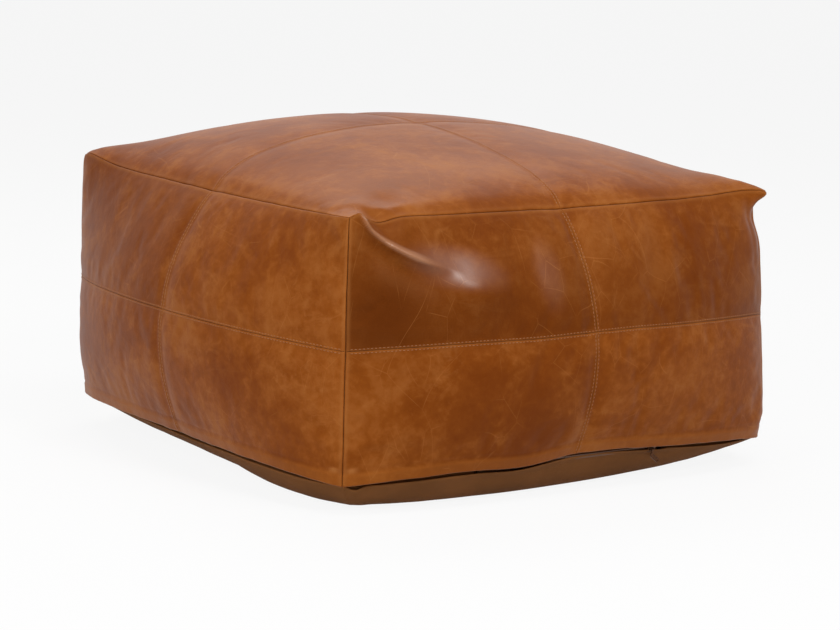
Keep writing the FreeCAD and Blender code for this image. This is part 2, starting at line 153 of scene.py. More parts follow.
class PoufFinish(bpy.types.PropertyGroup):
    """Colours of the leather, the cloth and the zip."""
    leather: colour("Leather", (0.262, 0.068, 0.0080), "Middle tone of the leather")
    # Dark and pale leather also serve as painted shade and as painted sheen and highlights, through the tone
    # and rub attributes
    leather_dark_and_shade: colour("Dark leather", (0.172, 0.037, 0.0035), "Waxed, unstretched leather")
    leather_pale_and_sheen: colour("Pale leather", (0.42, 0.160, 0.042), "Rubbed or stretched leather")
    leather_hem: colour("Hem leather", (0.36, 0.115, 0.020), "Leather stretched over the hem")
    canvas: colour("Canvas", (0.195, 0.075, 0.021), "Canvas of the base")
    thread: colour("Thread", (0.37, 0.15, 0.055), "Topstitching thread")
    tape: colour("Zip tape", (0.175, 0.068, 0.020), "Woven tape of the zip")
    coil: colour("Zip coil", (0.130, 0.050, 0.016), "Moulded coil of the zip")
    metal: colour("Zip metal", (0.115, 0.045, 0.018), "Antique brass of the slider and pull")
    liner: colour("Liner", (0.55, 0.48, 0.38), "Cloth of the inner bag")
    filling: colour("Filling", (0.42, 0.38, 0.33), "Shredded textile inside")


class PoufStage(bpy.types.PropertyGroup):
    """Camera, light and floor."""
    azimuth: angle("Azimuth", -0.6078, "Camera's place round the pouf, from the front")
    elevation: angle("Elevation", 0.1678, "Camera's height as an angle")
    roll: angle("Roll", 0.0284, "Turn about the line of sight")
    distance: length("Distance", 3.760, "From the camera to the middle of the walls")
    shift_right: length("Right", 0.0069, "Camera's step sideways")
    shift_up: length("Up", -0.0262, "Camera's step upwards")
    lens: FloatProperty(name="Lens", unit="CAMERA", default=129.8, description="Focal length")
    floor_radius: length("Floor radius", 60.0, "Radius of the floor")
    floor_sides: IntProperty(name="Floor sides", default=96, description="Corners of the floor's rim")


# ---------------------------------------------------------------- form of the cover

def rounded(a):
    return 1 - a * a


def flat_middle(a):
    return 1 - a ** 4


def crowned(a):
    """A dome's profile from 1 in the middle to 0 at the ends: mostly a parabola, with fuller shoulders."""
    return 1 - 0.66 * a ** 2 - 0.34 * a ** 10


def bump(distance, width):
    """Bell curve, 1 at distance 0."""
    return np.exp(-(distance / width) ** 2)


def smooth(low, high, value):
    """0 below low, 1 above high, with a cubic between."""
    x = np.clip((value - low) / (high - low), 0, 1)
    return x * x * (3 - 2 * x)


def stacked(*parts):
    return np.stack(np.broadcast_arrays(*parts), -1)


def unit(v):
    return v / np.linalg.norm(v, axis=-1, keepdims=True)


def turned(points, turns):
    """Points turned about the upright axis by quarter turns."""
    x, y, z = np.moveaxis(points, -1, 0)
    for _ in range(turns % 4):
        x, y = -y, x
    return stacked(x, y, z)


def waves(points, wavelength, seed):
    """Smooth random field of about -1 to 1: a sum of sine waves in random directions."""
    random = np.random.default_rng(seed)
    direction = unit(random.normal(size=(14, 3)))
    pace = 2 * math.pi / wavelength * random.uniform(0.6, 1.5, 14)
    phase = random.uniform(0, 2 * math.pi, 14)
    return np.sin(points @ (direction * pace[:, None]).T + phase).mean(-1) * 2.2


# Local gives of the stuffed cover: place, reach and push in metres. Each is a soft push that fades
# with a bell curve, the same for all the panels there, so that the seams stay joined.
GIVES = (
    ((0.300, -0.300, 0.340), 0.020, (0.012, -0.012, -0.002)),    # ear at the front right corner
    ((0.306, -0.306, 0.344), 0.0075, (-0.0060, 0.0060, -0.003)), # its round tip
    ((0.290, -0.290, 0.349), 0.0150, (0.0, 0.0, 0.0045)),        # and its full upper side
    ((0.305, -0.305, 0.331), 0.0080, (0.004, -0.004, 0.0)),      # its full underside
    ((0.302, -0.302, 0.307), 0.024, (-0.0060, 0.0060, 0.0)),     # neck under that ear
    ((0.303, -0.303, 0.320), 0.009, (-0.0035, 0.0035, 0.0)),     # narrowest just below it
    ((0.270, -0.270, 0.354), 0.040, (0.0, 0.0, 0.006)),          # top puffed behind it
    ((0.305, -0.305, 0.053), 0.009, (-0.005, 0.005, 0.0)),       # tuck above the hem there
    ((-0.283, -0.302, 0.341), 0.013, (0.0, 0.0, 0.004)),         # front top seam, rising at the corner
    ((-0.256, -0.303, 0.341), 0.019, (0.0, 0.004, -0.007)),      # and dipping where the fold starts
    ((-0.232, -0.268, 0.356), 0.021, (0.0, 0.0, -0.0045)),       # dent in the top above the fold
    ((-0.270, -0.262, 0.358), 0.018, (0.0, 0.0, 0.0030)),        # ridge beside it
    ((-0.290, 0.290, 0.348), 0.045, (-0.001, 0.001, 0.008)),     # ear at the rear left corner
    ((-0.302, 0.302, 0.346), 0.008, (0.003, -0.003, -0.004)),    # its round tip
    ((0.300, 0.300, 0.343), 0.020, (0.006, 0.006, 0.003)),       # ear at the rear right corner
)

FOLDED = ("front", "upper", "left")      # the panel with the fold, which has a finer mesh

# How much darker a wall panel's hide is than the rest: partly the hide's own tone, partly painted shade where
# a wall turns from the light, most on the front's upper left panel under the fold
USUAL_TONE = 0.12
PANEL_TONES_AND_SHADE = {FOLDED: 0.48, ("front", "upper", "right"): 0.32,
              ("front", "lower", "right"): 0.0, ("left", "upper", "left"): 0.22,
              ("left", "upper", "right"): 0.05, ("left", "lower", "left"): 0.05,
              ("left", "lower", "right"): 0.0}

CREASES = {}             # how far the inflated leather moved, on a coarse grid of each wall and the top


def sampled(grid, a, b):
    """A coarse grid's values at parameters from -1 to 1, by cubic steps between its points each way."""
    counts = grid.shape[:2]
    x, y = (np.clip((c + 1) / 2, 0, 1) * (n - 1) for c, n in zip((a, b), counts))
    i, j = (np.minimum(np.floor(c).astype(int), n - 2) for c, n in zip((x, y), counts))
    values, shares = 0.0, []
    for f in (x - i, y - j):
        shares.append((f * (-0.5 + f - 0.5 * f * f), 1 + f * f * (-2.5 + 1.5 * f),
                       f * (0.5 + 2 * f - 1.5 * f * f), f * f * (-0.5 + 0.5 * f)))
    for p in range(4):
        for q in range(4):
            rows, columns = np.clip(i + p - 1, 0, counts[0] - 1), np.clip(j + q - 1, 0, counts[1] - 1)
            values = values + (shares[0][p] * shares[1][q])[..., None] * grid[rows, columns]
    return values


# ---------------------------------------------------------------- relief of the leather

def rolled(distance, radius):
    """Depth of a quarter round at a panel's edge."""
    q = np.clip(1 - distance / radius, 0, 1)
    return radius * (1 - np.sqrt(1 - q * q))


def puckers(seam_points, distance, seed):
    """Small gathers square to a seam, fading away from it."""
    fine = waves(seam_points, 0.024, seed) * np.exp(-distance / 0.010)
    long = waves(seam_points, 0.070, seed + 1) * np.exp(-distance / 0.030)
    return 0.00030 * fine + 0.0006 * long


def corner_fold(along, below):
    """Height of the drape fold that starts by the top corner and runs down across the wall.

    along and below are metres from the corner. The crest falls ever less steeply, as 1 - exp does.
    It is narrow near the corner and broad at its end, with a hollow under it, and runs out in a
    soft swelling.
    """
    off = below - 0.084 * (1 - np.exp(-(along - 0.011) / 0.072))     # how far below the crest
    strength = smooth(0.004, 0.022, along) * (1 - smooth(0.070, 0.140, along))
    # the ridge falls away exponentially, gently above its crest and steeply below, and is round at the crest
    width = np.where(off < 0, 0.0042, 0.0018) + np.where(off < 0, 0.065, 0.032) * along
    crisp = 0.0016 + 0.02 * along
    ridge = 0.0098 * strength * np.exp((crisp - np.sqrt(off * off + crisp * crisp)) / width)
    crease = 0.0007 * strength * bump(off + 0.0055, 0.0020)
    hollow = -0.0034 * smooth(0.004, 0.030, along) * (1 - smooth(0.07, 0.15, along)) \
        * bump(off - 0.020, 0.018)
    swelling = 0.0100 * bump(along - 0.150, 0.044) * bump(below - 0.091, 0.029)
    beside = 0.0024 * bump(along - 0.246, 0.017) * bump(below - 0.082, 0.045)    # a fainter swelling
    return ridge + crease + hollow + swelling + beside


def ear_pleats(aside, below):
    """Height of two soft pleats that hang from the front right ear, beside the corner seam."""
    fade = smooth(0.004, 0.022, below) * (1 - smooth(0.055, 0.110, below))
    return (0.0013 * bump(aside - 0.013, 0.0045) + 0.0009 * bump(aside - 0.026, 0.0055)) * fade


class Cover:
    """The cover's surface at any parameters: the smooth form, its uneven set, seams and gathers."""

    def __init__(self, scene):
        self.form, self.seams = scene.pouf_form, scene.pouf_seams
        self.height = (self.form.corner_height - self.form.hem_lift) / 2     # of one row of wall panels

    def wall_seams(self, s, t):
        """Distances to a wall's plain seams, at its side and top, and to its topstitched cross."""
        s, t = np.broadcast_arrays(s, t)
        plain = (1 - np.abs(s)) * self.form.half_span, (1 - t) * self.height
        return plain, (np.abs(s) * self.form.half_span, np.abs(t) * self.height)

    def top_seams(self, u, v):
        """Distances to the top's nearest plain seams and to its topstitched cross."""
        ways = [np.abs(way) for way in np.broadcast_arrays(u, v)]
        return [(1 - way) * self.form.half_span for way in ways], [way * self.form.half_span for way in ways]

    def settled(self, points):
        """Uneven set of the stuffed cover, the same for all pieces at a place, so that seams stay joined.

        The crown leans to the rear left, the upright seams stand off the middle and bow, the hem
        hangs lower in places, and the corners have ears and necks from GIVES.
        """
        form = self.form
        x, y, z = np.moveaxis(points, -1, 0)
        across, along = np.clip(x / form.half_span, -1, 1), np.clip(y / form.half_span, -1, 1)
        up = np.clip((z - form.hem_lift) / (form.corner_height - form.hem_lift), 0, 1)
        down, middle = 1 - up, 4 * up * (1 - up)
        left, right, front, rear = (1 - across) / 2, (1 + across) / 2, (1 - along) / 2, (1 + along) / 2
        at_top = np.clip((z - form.corner_height) / form.crown, 0, 1)
        # the upright seams of the front and left walls
        dx = front ** 4 * rounded(across) * (0.005 * middle - 0.010 * up)
        dy = -0.020 * left ** 4 * rounded(along) * up
        # the crown's lean, and the rise of the level seams
        dz = at_top * (-0.002 - 0.0035 * across + 0.0115 * along)
        dz = dz + 0.0065 * middle * (front ** 4 * rounded(across) + left ** 4 * rounded(along))
        # the hem's rise and, at the front, its wave
        dz = dz + down ** 2 * (0.003 * front * rounded(across) + 0.003 * left * rear)
        dz = dz + down ** 2 * front ** 4 * (0.005 * bump(across - 0.12, 0.26)
                                            - 0.0045 * bump(across + 0.26, 0.16))
        # the front right corner bulges low down, and the rear left one stands out above the hem
        bulge = (0.0120 * down ** 1.5 - 0.0060 * bump(up, 0.045) - 0.005 * up ** 6) * (right * front) ** 4
        stand = 0.0040 * smooth(0.0, 0.25, up) * (left * rear) ** 4
        dx, dy = dx + bulge - stand, dy - bulge + stand
        moved = stacked(x + dx, y + dy, z + dz)
        for place, reach, push in GIVES:
            near = bump(np.linalg.norm(points - np.array(place), axis=-1), reach)
            moved = moved + near[..., None] * np.array(push)
        return moved

    def wall_skin(self, turns, s, t):
        """Smooth outer face of a wall. s runs from its left to its right, t from the hem to the top edge.

        The wall stands half a span out. Its edges bow outwards, the hem more than the top, and
        between them it swells with a parabola each way. The inflated leather's creases are added.
        """
        form = self.form
        up = (1 + t) / 2
        down = 1 - up
        corner = form.half_span + CORNER_BOW * rounded(t)
        bow = form.top_bow * rounded(s) * up + form.hem_bow * flat_middle(s) * down
        belly = form.belly * rounded(s) * rounded(t)
        rise = form.hem_rise * flat_middle(s) * down - form.top_sag * rounded(s) * up
        z = form.hem_lift + (form.corner_height - form.hem_lift) * up + rise
        skin = self.settled(turned(stacked(s * corner, -(corner + bow + belly), z), turns))
        if not CREASES:
            return skin
        slack = {FRONT: 1 - 0.9 * bump(np.hypot(s + 0.52, t - 0.50), 0.34), LEFT: 0.55}.get(turns, 1.0)
        return skin + sampled(CREASES[SIDES[turns]], s, t) * (slack + np.zeros(skin.shape[:-1]))[..., None]

    def top_skin(self, u, v):
        """Smooth outer face of the top. Its height is the product of two dome profiles, less the sag."""
        form = self.form
        sag = form.top_sag * (rounded(u) * v ** 4 + rounded(v) * u ** 4)
        z = form.corner_height - sag + form.crown * crowned(u) * crowned(v)
        x = u * (form.half_span + form.top_bow * rounded(v))
        y = v * (form.half_span + form.top_bow * rounded(u)) + 0.007 * rounded(u) * rounded(v)
        skin = self.settled(stacked(x, y, z))
        return skin + sampled(CREASES["top"], u, v) if CREASES else skin

    def wall_normal(self, turns, s, t):
        along = self.wall_skin(turns, s + STEP, t) - self.wall_skin(turns, s - STEP, t)
        return unit(np.cross(along, self.wall_skin(turns, s, t + STEP) - self.wall_skin(turns, s, t - STEP)))

    def top_normal(self, u, v):
        along = self.top_skin(u + STEP, v) - self.top_skin(u - STEP, v)
        return unit(np.cross(along, self.top_skin(u, v + STEP) - self.top_skin(u, v - STEP)))

    def hem_normal(self, turns, s, reach):
        """A wall's normal along its hem, turning to the corner seams' mean normals within a reach of them."""
        low = -np.ones_like(s)
        out = self.wall_normal(turns, s, low)
        for side in (-1, 1):
            mean = self.side_mean(turns, side, low)
            out = out + (mean - out) * bump((1 - s * side) * self.form.half_span, reach)[..., None]
        return out

    def edge_normal(self, turns, s):
        """The top's normal at a wall's top edge."""
        edge = turned(stacked(s, -np.ones_like(s), 0 * s), turns)
        return self.top_normal(edge[..., 0], edge[..., 1])

    def side_mean(self, turns, side, t):
        """Mean normal along the corner seam at a wall's left (side = -1) or right end."""
        ends = np.full_like(t, side)
        total = self.wall_normal(turns, ends, t) + self.wall_normal((turns + side) % 4, -ends, t)
        return unit(total + self.edge_normal(turns, ends) * smooth(CORNER_FROM, 1.0, t)[..., None])

    def top_mean(self, turns, s):
        """Mean normal along the seam between a wall and the top, with the next wall's at a corner."""
        one = np.ones_like(s)
        total = self.wall_normal(turns, s, one) + self.edge_normal(turns, s)
        for side in (-1, 1):
            beside = self.wall_normal((turns + side) % 4, -side * one, one)
            total = total + beside * smooth(CORNER_FROM, 1.0, s * side)[..., None]
        return unit(total)

    def relief(self, own, first, second, plain, flat, gathers):
        """Moves out along a normal that turns to the seams' mean normals beside the two plain seams.

        The depth is the deepest roll of the seams plus the valleys that they draw the leather into.
        """
        seams = self.seams
        a, b = (bump(d, TURNING)[..., None] for d in plain)
        direction = unit(own * (1 - a) * (1 - b) + first * a * (1 - b / 2) + second * b * (1 - a / 2))
        rolls = [rolled(d, seams.plain_roll) for d in plain] + [rolled(d, seams.flat_roll) for d in flat]
        depth = np.maximum.reduce(rolls)
        for d in plain:
            depth = depth + seams.plain_valley * bump(d, PLAIN_REACH)
        for d in flat:
            depth = depth + seams.flat_valley * bump(d, FLAT_REACH) - WELT * bump(d, WELT_REACH)
        return direction * (gathers - depth)[..., None]

    def wall(self, turns, s, t):
        """A wall's finished outer face: the smooth skin with the relief of its seams, hem and fold."""
        side, to_hem = np.where(s < 0, -1.0, 1.0), (1 + t) * self.height
        (to_side, to_top), (to_mid, to_cross) = self.wall_seams(s, t)
        ends = [self.side_mean(turns, end, t) for end in (-1, 1)]
        gathers = 0.0
        for seed, share, distance, place in (        # the nearest place on each seam
                (11, 1.0, to_side, (side, t)), (21, 1.0, to_top, (s, 1 + 0 * s)),
                (31, FIRM_PUCKERS, to_mid, (0 * t, t)), (41, FIRM_PUCKERS, to_cross, (s, 0 * s)),
                (51, 1.0, to_hem, (s, 0 * s - 1))):
            gathers = gathers + share * puckers(self.wall_skin(turns, *place), distance, seed)
        # the doubled leather of the hem stands out, with a groove above it
        hem_depth = self.seams.hem_depth
        gathers = gathers + 0.0007 * smooth(hem_depth + 0.0012, hem_depth - 0.0008, to_hem) \
            - 0.0006 * bump(to_hem - hem_depth - 0.0016, 0.0014)
        if turns == FRONT:
            gathers = gathers + corner_fold((1 + s) * self.form.half_span, to_top) \
                + ear_pleats((1 - s) * self.form.half_span, to_top)
        return self.wall_skin(turns, s, t) + self.relief(
            self.wall_normal(turns, s, t), np.where((side < 0)[..., None], *ends), self.top_mean(turns, s),
            (to_side, to_top), (to_mid, to_cross), gathers)

    def top(self, u, v):
        """The top's finished outer face, made as a wall's is."""
        across, along = np.where(u < 0, -1.0, 1.0), np.where(v < 0, -1.0, 1.0)
        (to_x, to_y), (mid_x, mid_y) = self.top_seams(u, v)
        mean_x = np.where((u < 0)[..., None], self.top_mean(LEFT, -v), self.top_mean(RIGHT, v))
        mean_y = np.where((v < 0)[..., None], self.top_mean(FRONT, u), self.top_mean(REAR, -u))
        gathers = 0.0
        for seed, share, distance, place in (
                (21, 1.0, to_x, (across, v)), (21, 1.0, to_y, (u, along)),
                (61, FIRM_PUCKERS, mid_x, (0 * v, v)), (71, FIRM_PUCKERS, mid_y, (u, 0 * u))):
            gathers = gathers + share * puckers(self.top_skin(*place), distance, seed)
        return self.top_skin(u, v) + self.relief(self.top_normal(u, v), mean_x, mean_y, (to_x, to_y),
                                                 (mid_x, mid_y), gathers)


# ---------------------------------------------------------------- meshes

def spaced(reach, finest, largest):
    """Shares from 0 to 1 of a reach in metres, close together at both ends and even between."""
    steps = [finest]
    while steps[-1] * GROWTH < largest:
        steps.append(steps[-1] * GROWTH)
    even = reach - 2 * sum(steps)
    count = max(1, round(even / largest))
    return np.concatenate([[0.0], np.cumsum([*steps, *[even / count] * count, *steps[::-1]])]) / reach


def quads(rows, columns, closed=False):
    """Vertex numbers of a grid's faces, each anticlockwise from outside where rows x columns is outward."""
    i, j = np.meshgrid(np.arange(rows - 1), np.arange(columns if closed else columns - 1), indexing="ij")
    after = (j + 1) % columns
    return np.stack([i * columns + j, (i + 1) * columns + j, (i + 1) * columns + after, i * columns + after],
                    -1).reshape(-1, 4)


def fan(ring, hub):
    """Triangles from each edge of a ring of vertices to one more vertex."""
    return np.stack([ring, np.roll(ring, -1), np.full(len(ring), hub)], -1)


def new_mesh(name, points, faces, attributes=None, triangles=None):
    """An object from arrays of points and of four-cornered and three-cornered faces."""
    mesh = bpy.data.meshes.new(name)
    points = np.asarray(points, float).reshape(-1, 3)
    triangles = np.zeros((0, 3), int) if triangles is None else triangles
    corners = np.concatenate([faces.ravel(), triangles.ravel()])
    sizes = np.concatenate([np.full(len(faces), 4), np.full(len(triangles), 3)])
    mesh.vertices.add(len(points))
    mesh.vertices.foreach_set("co", points.ravel())
    mesh.loops.add(len(corners))
    mesh.loops.foreach_set("vertex_index", corners.astype(np.int32))
    mesh.polygons.add(len(sizes))
    mesh.polygons.foreach_set("loop_start", (np.cumsum(sizes) - sizes).astype(np.int32))
    mesh.polygons.foreach_set("use_smooth", np.ones(len(sizes), bool))
    mesh.update(calc_edges=True)
    for key, values in (attributes or {}).items():
        layer = mesh.attributes.new(key, "FLOAT", "POINT")
        layer.data.foreach_set("value", np.asarray(values, np.float32).ravel())
    mesh.validate()
    piece = bpy.data.objects.new(name, mesh)
    bpy.context.scene.collection.objects.link(piece)
    return piece


def thickened(piece, thickness):
    """Gives a sheet its thickness, inwards."""
    shell = piece.modifiers.new("Thickness", "SOLIDIFY")
    shell.thickness, shell.offset = thickness, -1


def settle_in(piece, slot, material, *nodes):
    """Puts a finished piece on the pouf's body in place of its CAD nodes."""
    piece.data.materials.append(material)
    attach(piece, BODY)
    if nodes:
        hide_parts(*nodes)


# ---------------------------------------------------------------- materials

class Number:
    """A number socket that can be used in sums; each sum adds its Math node."""

    def __init__(self, graph, socket):
        self.graph, self.socket = graph, socket

    def math(self, operation, first, second):
        return self.graph.node("ShaderNodeMath", {"operation": operation}, first, second).number(0)

    def __add__(self, other): return self.math("ADD", self, other)
    def __sub__(self, other): return self.math("SUBTRACT", self, other)
    def __rsub__(self, other): return self.math("SUBTRACT", other, self)
    def __mul__(self, other): return self.math("MULTIPLY", self, other)
    __radd__ = __add__
    __rmul__ = __mul__

    def at_most(self, limit): return self.math("MINIMUM", self, limit)

    def ramp(self, low, high):
        """0 at low, 1 at high, smooth between."""
        settings = {"interpolation_type": "SMOOTHSTEP"}
        return self.graph.node("ShaderNodeMapRange", settings, self, low, high, 0.0, 1.0).number(0)


class Node:
    """A node that has been made, and its outputs."""

    def __init__(self, graph, node):
        self.graph, self.node = graph, node

    @property
    def out(self):
        return self.node.outputs[0]

    def number(self, key):
        return Number(self.graph, self.node.outputs[key])


class Graph:
    """The nodes of a material or a world. One method makes any node, its settings before its inputs."""

    def __init__(self, owner):
        self.owner = owner
        owner.use_nodes = True
        self.tree = owner.node_tree
        self.tree.nodes.clear()

    def node(self, kind, settings=None, *values, **named):
        made = self.tree.nodes.new(kind)
        for key, value in (settings or {}).items():
            setattr(made, key, value)
        pairs = [*zip(made.inputs, values), *((made.inputs[k], v) for k, v in named.items())]
        for socket, value in pairs:
            if value is None:
                continue
            if isinstance(value, Number):
                value = value.socket
            if isinstance(value, bpy.types.NodeSocket):
                self.tree.links.new(value, socket)
            else:
                socket.default_value = value
        return Node(self, made)

    def place(self, scale=(1, 1, 1), turn=(0, 0, 0)):
        """Position on the piece, stretched and turned."""
        spot = self.node("ShaderNodeTexCoord").node.outputs["Object"]
        mapping = self.node("ShaderNodeMapping", None, Vector=spot, Scale=scale, Rotation=turn)
        return mapping.out

    def noise(self, scale, detail=2.0, roughness=0.5, distortion=0.0, at=None):
        return self.node("ShaderNodeTexNoise", None, Vector=at or self.place(), Scale=scale, Detail=detail,
                         Roughness=roughness, Distortion=distortion).number("Fac")

    def attribute(self, name):
        return self.node("ShaderNodeAttribute", {"attribute_name": name}).number("Fac")

    def mix(self, factor, first, second):
        """Blend of two colours."""
        made = self.node("ShaderNodeMix", {"data_type": "RGBA"}, factor)
        for socket, value in ((made.node.inputs[6], first), (made.node.inputs[7], second)):
            if isinstance(value, bpy.types.NodeSocket):
                self.tree.links.new(value, socket)
            else:
                socket.default_value = (*value[:3], 1)
        return made.node.outputs[2]

    def bump(self, height, distance, strength=1.0, after=None):
        return self.node("ShaderNodeBump", None, Strength=strength, Distance=distance, Height=height,
                         Normal=after).out

    def surface(self, **inputs):
        """Ends a material with its shader, whose inputs have _ for each space of their names."""
        shader = self.node("ShaderNodeBsdfPrincipled", None,
                           **{key.replace("_", " "): value for key, value in inputs.items()})
        self.node("ShaderNodeOutputMaterial", None, Surface=shader.out)
        return self.owner

    def partly_white(self, plain, white, share, output):
        """Ends the nodes with a shader that gives way to a white one on rays that show it to the eye."""
        path = self.node("ShaderNodeLightPath")
        seen = (path.number("Is Camera Ray") + path.number("Is Glossy Ray")
                + path.number("Is Transmission Ray")).at_most(1.0) * share
        both = self.node("ShaderNodeMixShader", None, seen, plain.out, white.out)
        self.node(output, None, Surface=both.out)


def shade(tone, share):
    """A darker or, with a share above 1, a lighter tone."""
    return tuple(min(1.0, share * c) for c in tone)


def material(name, maker, *arguments):
    """The material of that name, made once."""
    return bpy.data.materials.get(name) or maker(Graph(bpy.data.materials.new(name)), *arguments)


def leather_material(g, finish):
    """Waxed pull-up leather: cloudy tones, pale where it is stretched or rubbed, hair scratches and pores.
    Its tone and rub attributes also carry painted shade, painted sheen and a painted highlight.
    """
    cloud = g.noise(5.5, 5.0, 0.56, 0.35)
    patch = g.noise(19.0, 6.0, 0.62, 0.5)
    speck = g.noise(85.0, 5.0, 0.62, 0.3)
    dark = (cloud * 0.45 + patch * 0.36 + speck * 0.19).ramp(0.36, 0.60)
    colour = g.mix(dark, finish.leather_dark_and_shade, finish.leather)
    pale = (patch * 0.42 + speck * 0.30 + cloud * 0.28).ramp(0.48, 0.64) * 0.30
    colour = g.mix(pale, colour, finish.leather_pale_and_sheen)
    drag = g.noise(34.0, 4.0, 0.7, 0.8, g.place((1.0, 0.16, 1.0), (0.5, 0.3, 0.7)))
    comb = g.noise(40.0, 4.0, 0.7, 0.6, g.place((0.14, 1.0, 1.0), (-0.4, 0.6, 0.2)))
    scuff = (drag.ramp(0.56, 0.70) + comb.ramp(0.57, 0.70)) * g.noise(4.5, 2.0).ramp(0.42, 0.6) * 0.22
    colour = g.mix(scuff, colour, finish.leather_pale_and_sheen)
    # the tone attribute darkens the walls, partly as the hide's own tone and partly as painted shade, most
    # under the fold
    colour = g.mix(g.attribute("tone") * 0.90, colour, shade(finish.leather_dark_and_shade, 0.62))
    # the rub attribute pales the lips of seams and worn creases, and also paints sheen on the top and a
    # highlight on the fold's crest
    colour = g.mix(g.attribute("rub_and_sheen"), colour, finish.leather_pale_and_sheen)
    colour = g.mix(g.attribute("hem") * 0.35, colour, finish.leather_hem)
    hairs = 0.0                     # hair scratches: the edges of two bent cell patterns, in places
    for scale, turn, reach in ((14.0, (0.4, 0.9, 0.2), 0.006), (26.0, (1.3, 0.2, 0.8), 0.009)):
        drift = g.node("ShaderNodeTexNoise", None, Vector=g.place(), Scale=4.0, Detail=1.0)
        drift = g.node("ShaderNodeVectorMath", {"operation": "SCALE"}, drift.node.outputs["Color"],
                       Scale=0.10)
        bent = g.node("ShaderNodeVectorMath", {"operation": "ADD"}, g.place((1, 1, 0.55), turn), drift.out)
        lines = g.node("ShaderNodeTexVoronoi", {"feature": "DISTANCE_TO_EDGE"}, Vector=bent.out,
                       Scale=scale).number("Distance")
        shown = g.noise(scale * 0.7, 3.0, 0.6).ramp(0.47, 0.61)
        hairs = (1 - lines.ramp(0.0, reach)) * shown + hairs
    colour = g.mix(hairs * 0.30, colour, finish.leather_pale_and_sheen)
    pores = g.node("ShaderNodeTexVoronoi", {"feature": "F1"}, Vector=g.place(),
                   Scale=520.0).number("Distance")
    creases = g.noise(120.0, 5.0, 0.55, 0.8)
    grain = g.bump(pores * 0.4 + creases, 0.0006, 0.35)
    lumps = g.bump(patch + cloud, 0.0035, 0.22, grain)
    rough = 0.31 + patch * 0.15 + speck * 0.09 + scuff * 0.2 - dark * 0.04
    return g.surface(Base_Color=colour, Roughness=rough, Normal=lumps, Specular_IOR_Level=0.10,
                     Specular_Tint=(1.0, 0.55, 0.28, 1.0), Coat_Weight=g.attribute("polish"),
                     Coat_Roughness=0.36, Coat_IOR=1.62)


def canvas_material(g, finish):
    """Plain-woven canvas: two families of fine threads, lighter on its folded edge."""
    warp, weft = (g.node("ShaderNodeTexWave", {"bands_direction": way}, Vector=g.place(), Scale=420.0,
                         Distortion=0.6, Detail=1.0).number("Fac") for way in "XY")
    weave = warp * 0.5 + weft * 0.5
    fade = g.noise(14.0, 4.0, 0.6)
    pale = shade(finish.canvas, 1.55)
    colour = g.mix(fade.ramp(0.3, 0.7), shade(finish.canvas, 0.72), finish.canvas)
    colour = g.mix(weave * 0.18, colour, pale)
    colour = g.mix(g.attribute("lip") * 0.6, colour, pale)
    return g.surface(Base_Color=colour, Roughness=0.86 + fade * 0.08, Normal=g.bump(weave, 0.0004, 0.4),
                     Specular_IOR_Level=0.15)


def cloth_material(g, tone, scale):
    """Woven or felted cloth: fine threads and a little unevenness of tone."""
    weave, fade = g.noise(scale, 3.0, 0.6), g.noise(18.0, 3.0)
    colour = g.mix((weave * 0.5 + fade * 0.5).ramp(0.3, 0.7), shade(tone, 0.7), tone)
    return g.surface(Base_Color=colour, Roughness=0.85 + fade * 0.05, Normal=g.bump(weave, 0.0005, 0.5))


def strand_material(g, tone, scale, detail, dark, rough):
    """Twisted thread or moulded plastic: one tone, a little uneven."""
    uneven = g.noise(scale, detail)
    return g.surface(Base_Color=g.mix(uneven, shade(tone, dark), tone), Roughness=rough + uneven * 0.1)


def metal_material(g, finish):
    """Antique brass, tarnished darker and lighter in fine random patches."""
    tarnish = g.noise(420.0, 4.0, 0.65)
    colour = g.mix(tarnish.ramp(0.35, 0.65), shade(finish.metal, 0.45), finish.metal)
    return g.surface(Base_Color=colour, Roughness=0.34 + tarnish * 0.25, Metallic=0.85,
                     Normal=g.bump(tarnish, 0.0002, 0.3))


# ---------------------------------------------------------------- operators

def leather_piece(name, points, attributes, *nodes):
    """One leather panel from a grid of points, with its thickness."""
    scene = bpy.context.scene
    piece = new_mesh(name, points, quads(*points.shape[:2]), attributes)
    thickened(piece, scene.pouf_form.leather)
    settle_in(piece, "cover_leather", material("waxed_leather", leather_material, scene.pouf_finish), *nodes)


def lip_wear(plain, flat):
    """Where the leather is rubbed: on the lips of its plain seams, and less beside topstitched ones."""
    lips = [0.26 * bump(d - 0.0024, 0.0022) for d in plain] + [0.20 * bump(d - 0.0010, 0.0012) for d in flat]
    return np.maximum.reduce(lips)


